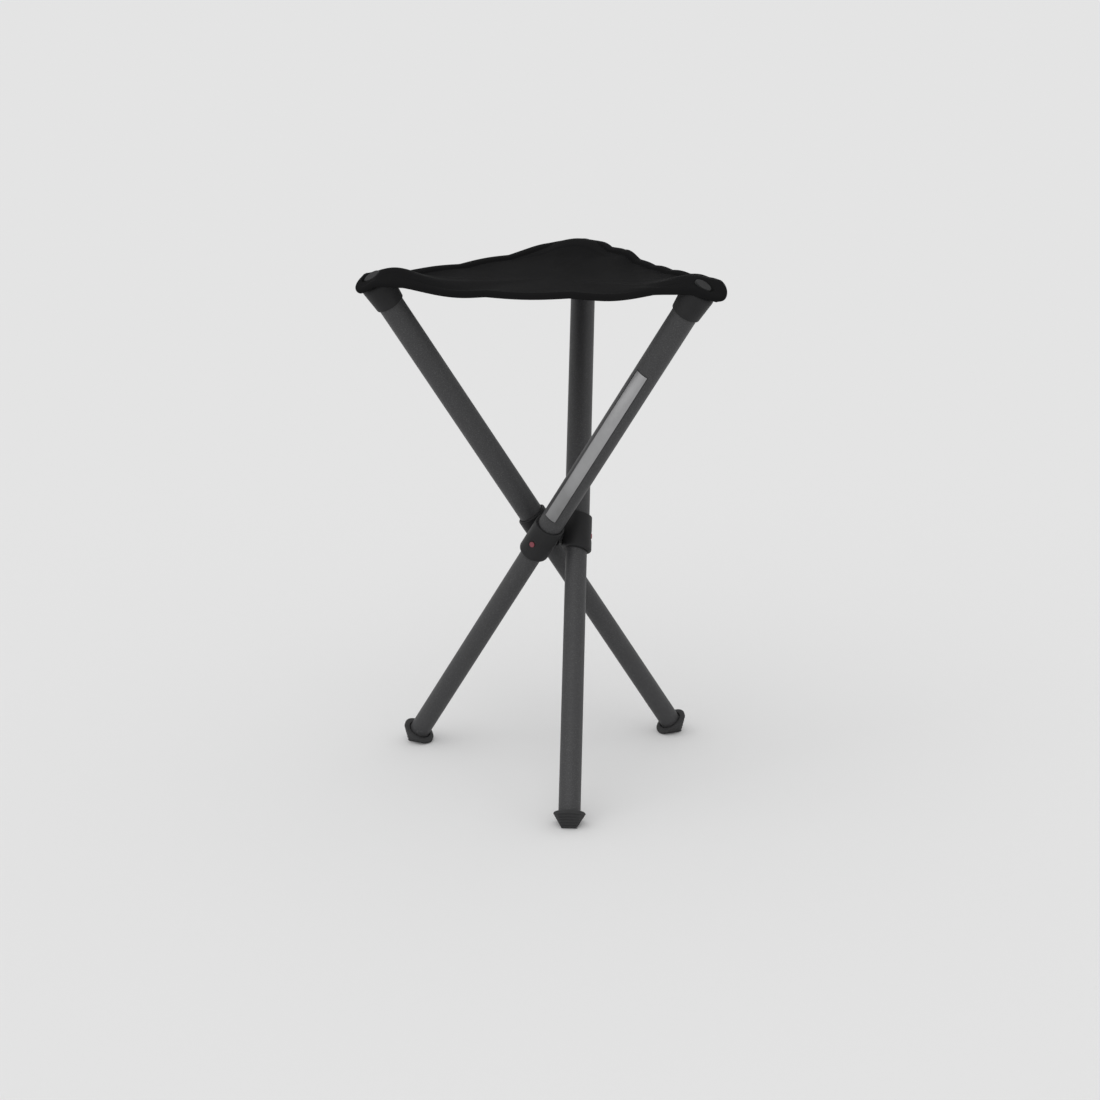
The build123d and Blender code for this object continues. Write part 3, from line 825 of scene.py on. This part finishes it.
def sector_mesh(form, number, name):
    """A third of the seat cloth, spun flat and then laid on the seat's form."""
    columns = form.sizes.columns
    step = 2 * pi / 3 / columns
    first = -pi / 3 - step              # a spare column on each side gives the borders their shading
    work = bmesh.new()
    line = [work.verts.new((reach * cos(first), reach * sin(first), 0)) for reach in reach_stations()]
    for inner, outer in zip(line, line[1:]):
        work.edges.new((inner, outer))
    bmesh.ops.spin(work, geom=work.verts[:] + work.edges[:], cent=(0, 0, 0), axis=(0, 0, 1),
                   angle=step * (columns + 2), steps=columns + 2, use_duplicate=False)
    bmesh.ops.remove_doubles(work, verts=work.verts, dist=SAME_POINT)
    rims = {column: form.rim(number, 2 * column / columns - 1) for column in range(-1, columns + 2)}
    pattern = work.loops.layers.uv.new("pattern")
    hem = work.verts.layers.float.new("hem")
    facing = work.verts.layers.float_vector.new("facing")
    flat = {}
    spare = []
    for vert in work.verts:
        reach = hypot(vert.co.x, vert.co.y)
        turn = atan2(vert.co.y, vert.co.x) / (pi / 3) if reach > SAME_POINT else 0.0
        column = round((turn + 1) / 2 * columns)
        vert.co, spot = form.place(number, 2 * column / columns - 1, reach, rims[column])
        # The hem share darkens the hem's colour in the material: painted shade.
        vert[hem] = form.hem_share(reach, rims[column])
        flat[vert] = spot.xy
        if column in (-1, columns + 1):
            spare.append(vert)
    for face in work.faces:
        for loop in face.loops:
            loop[pattern].uv = flat[loop.vert]
    bmesh.ops.recalc_face_normals(work, faces=work.faces)
    middle = min(work.verts, key=lambda vert: vert.co.xy.length)
    if middle.normal.z < 0:
        bmesh.ops.reverse_faces(work, faces=work.faces)
    work.normal_update()
    for vert in work.verts:
        vert[facing] = vert.normal
    middle[facing] = Vector((0, 0, 1))
    bmesh.ops.delete(work, geom=spare, context="VERTS")
    return finish_mesh(work, name)


def hang_on_leg(form, number, piece):
    """Bakes a piece of the seat's placement into its mesh; the piece is not made to follow its leg or the
    hub.
    """
    way = form.corner_way(number)
    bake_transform(piece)


class STOOL_OT_seat(Operator):
    """Make the fabric seat, in three sectors that meet in the middle"""
    bl_idname = "stool.seat"
    bl_label = "Seat"

    def execute(self, context):
        form = SeatForm(context.scene.stool_seat)
        colours = context.scene.stool_colours
        cloth = woven("seat_fabric", colours.fabric, colours.hem, form.sizes.yarn_pitch)
        for number, leg in enumerate(LEG_NAMES):
            name = f"{leg}_seat_sector"
            piece = link(name, sector_mesh(form, number, name))
            piece.data.materials.append(cloth)
            thick = piece.modifiers.new("thickness", "SOLIDIFY")
            thick.thickness = form.sizes.fabric
            thick.offset = -1.0
            depsgraph = context.evaluated_depsgraph_get()
            solid = bpy.data.meshes.new_from_object(piece.evaluated_get(depsgraph))
            piece.modifiers.clear()
            piece.data = solid
            piece.data.name = name
            self.shade_across_borders(solid)
            hang_on_leg(form, number, piece)
            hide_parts("seat_panel", f"{leg}_corner_pocket")
        return {"FINISHED"}

    def shade_across_borders(self, mesh):
        """Shades a sector as part of the whole seat, so that no line shows where two sectors meet."""
        normals = []
        for vert, outside in zip(mesh.vertices, mesh.attributes["facing"].data):
            normal = Vector(outside.vector)
            normals.append(normal if normal.dot(vert.normal) > 0 else -normal)
        mesh.normals_split_custom_set_from_vertices(normals)


class STOOL_OT_stitching(Operator):
    """Sew the hems: a row of stitches along the seam of each edge"""
    bl_idname = "stool.stitching"
    bl_label = "Stitching"
    sewn_share = 0.86                   # part of half an edge that is sewn, from its middle
    aim_share = 0.3                     # how much of a stitch, to each side, gives its direction
    proud_share = 0.4                   # how much of the thread's radius the stitches are raised by

    def execute(self, context):
        form = SeatForm(context.scene.stool_seat)
        sizes = form.sizes
        thread = moulded("hem_thread", context.scene.stool_colours.thread,
                         rough=0.7, gloss=0.05, grain_scale=3000, relief=0.3)
        for number, leg in enumerate(LEG_NAMES):
            work = bmesh.new()
            for side in (-1, 1):
                edge = number if side > 0 else (number - 1) % len(LEG_NAMES)
                half = form.edge_point(edge, 0.5)[2] / 2
                count = int(half * self.sewn_share / sizes.stitch_pitch)
                step = self.aim_share * sizes.stitch_length / half
                for stitch in range(count):
                    away = 1 - (stitch + 0.5) * sizes.stitch_pitch / half * (1 - form.nose_share)
                    turns = (side * (away - step), side * (away + step))
                    start, end = [self.seam_point(form, number, turn) for turn in turns]
                    self.sew(work, sizes, start, end)
            name = f"{leg}_seat_stitches"
            piece = link(name, finish_mesh(work, name))
            piece.data.materials.append(thread)
            hang_on_leg(form, number, piece)
        return {"FINISHED"}

    def seam_point(self, form, number, turn):
        """A point of the hem's seam."""
        rim = form.rim(number, turn)
        edge = form.place(number, turn, 1.0, rim)[0]
        face = in_plan(rim.out).normalized()
        reach = 1 - form.sizes.hem_width / in_plan(edge).dot(face)
        return form.place(number, turn, reach, rim)[0]

    def sew(self, work, sizes, start, end):
        """One stitch, a small rounded bar."""
        along = (end - start).normalized()
        turn = along.to_track_quat("Z", "Y").to_matrix().to_4x4()
        size = Matrix.Diagonal((sizes.stitch_radius, sizes.stitch_radius, sizes.stitch_length / 2, 1))
        middle = (start + end) / 2 + Vector((0, 0, sizes.stitch_radius * self.proud_share))
        bmesh.ops.create_uvsphere(work, u_segments=6, v_segments=5, radius=1,
                                  matrix=Matrix.Translation(middle) @ turn @ size)


class STOOL_OT_label(Operator):
    """Put the plain foil label on the right leg's upper tube"""
    bl_idname = "stool.label"
    bl_label = "Label"

    def execute(self, context):
        sizes = context.scene.stool_label
        leg = find_leg("right", context.scene.stool_seat.leg_offset)
        work = bmesh.new()
        half = sizes.reach / 2
        first = Matrix.Rotation(sizes.turn - half, 3, leg.up) @ leg.outward * sizes.radius
        heights = (sizes.bottom, (sizes.bottom + sizes.top) / 2, sizes.top)
        low, middle, high = [work.verts.new(leg.pivot + first + leg.up * height) for height in heights]
        line = [low, middle, high, work.edges.new((low, middle)), work.edges.new((middle, high))]
        bmesh.ops.spin(work, geom=line, cent=leg.pivot, axis=leg.up, angle=sizes.reach,
                       steps=sizes.steps, use_duplicate=False)
        bmesh.ops.recalc_face_normals(work, faces=work.faces)
        bmesh.ops.solidify(work, geom=work.faces[:], thickness=sizes.thickness)
        bmesh.ops.recalc_face_normals(work, faces=work.faces)
        pattern = work.loops.layers.uv.new("pattern")
        for face in work.faces:
            for loop in face.loops:
                loop[pattern].uv = self.from_edges(sizes, leg, loop.vert.co)
        name = "right_leg_label"
        piece = link(name, finish_mesh(work, name))
        colours = context.scene.stool_colours
        piece.data.materials.append(foil("label_foil", colours.foil, colours.foil_border, sizes.border))
        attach(piece, "right_leg")
        return {"FINISHED"}

    def from_edges(self, sizes, leg, point):
        """Distances of a point from the label's nearest side and nearest end."""
        offset = point - leg.pivot
        up = offset.dot(leg.up)
        radial = offset - leg.up * up
        turn = (Matrix.Rotation(sizes.turn, 3, leg.up) @ leg.outward).angle(radial)
        return (sizes.reach / 2 - turn) * sizes.radius, min(up - sizes.bottom, sizes.top - up)


class STOOL_OT_stage(Operator):
    """Make the floor, the light and the camera"""
    bl_idname = "stool.stage"
    bl_label = "Studio"

    def execute(self, context):
        scene = context.scene
        stage = scene.stool_stage
        scene.view_settings.view_transform = "Standard"
        self.make_floor(stage, scene.stool_colours.floor)
        self.make_light(scene, stage)
        lens = bpy.data.cameras.new("camera")
        lens.lens = stage.lens
        lens.sensor_width = SENSOR_WIDTH
        lens.clip_end = FAR_CLIP
        camera = link("camera", lens)
        camera.location = stage.camera_place
        camera.rotation_euler = stage.camera_turn
        scene.camera = camera
        return {"FINISHED"}

    def make_floor(self, stage, tint):
        """A large plain floor."""
        work = bmesh.new()
        bmesh.ops.create_grid(work, x_segments=1, y_segments=1, size=stage.floor_size / 2)
        floor = link("floor", finish_mesh(work, "floor"))
        material, tree, shader = new_material("floor_paper")
        shader.inputs["Base Color"].default_value = (*tint, 1)
        shader.inputs["Roughness"].default_value = 1.0
        shader.inputs["Specular IOR Level"].default_value = 0.0
        floor.data.materials.append(material)

    def make_light(self, scene, stage):
        """Even light all round and a soft light from above."""
        world = bpy.data.worlds.new("studio")
        world.use_nodes = True
        light = world.node_tree.nodes["Background"]
        light.inputs["Color"].default_value = (1, 1, 1, 1)
        light.inputs["Strength"].default_value = stage.world_light
        scene.world = world
        sun = bpy.data.lights.new("soft_sun", "SUN")
        sun.energy = stage.sun_light
        sun.angle = stage.sun_spread
        lamp = link("soft_sun", sun)
        lamp.rotation_euler = stage.sun_tilt


OPERATORS = (STOOL_OT_stage, STOOL_OT_tubes, STOOL_OT_mouldings, STOOL_OT_feet, STOOL_OT_fasteners,
             STOOL_OT_seat, STOOL_OT_stitching, STOOL_OT_label)


class VIEW3D_PT_stool(Panel):
    """The stool's tools"""
    bl_label = "Folding stool"
    bl_idname = "VIEW3D_PT_stool"
    bl_space_type = "VIEW_3D"
    bl_region_type = "UI"
    bl_category = "Stool"

    def draw(self, context):
        for tool in OPERATORS:
            self.layout.operator(tool.bl_idname)


GROUPS = {"stool_seat": StoolSeatSizes, "stool_label": StoolLabelSizes, "stool_foot": StoolFootSizes,
          "stool_colours": StoolColours, "stool_stage": StoolStage}


def register():
    for group in GROUPS.values():
        bpy.utils.register_class(group)
    for name, group in GROUPS.items():
        setattr(bpy.types.Scene, name, PointerProperty(type=group))
    for tool in OPERATORS:
        bpy.utils.register_class(tool)
    bpy.utils.register_class(VIEW3D_PT_stool)


def unregister():
    bpy.utils.unregister_class(VIEW3D_PT_stool)
    for tool in reversed(OPERATORS):
        bpy.utils.unregister_class(tool)
    for name, group in GROUPS.items():
        delattr(bpy.types.Scene, name)
        bpy.utils.unregister_class(group)


def main():
    register()
    bpy.ops.stool.stage()
    bpy.ops.stool.tubes()
    bpy.ops.stool.mouldings()
    bpy.ops.stool.feet()
    bpy.ops.stool.fasteners()
    bpy.ops.stool.seat()
    bpy.ops.stool.stitching()
    bpy.ops.stool.label()


if __name__ == "__main__":
    main()
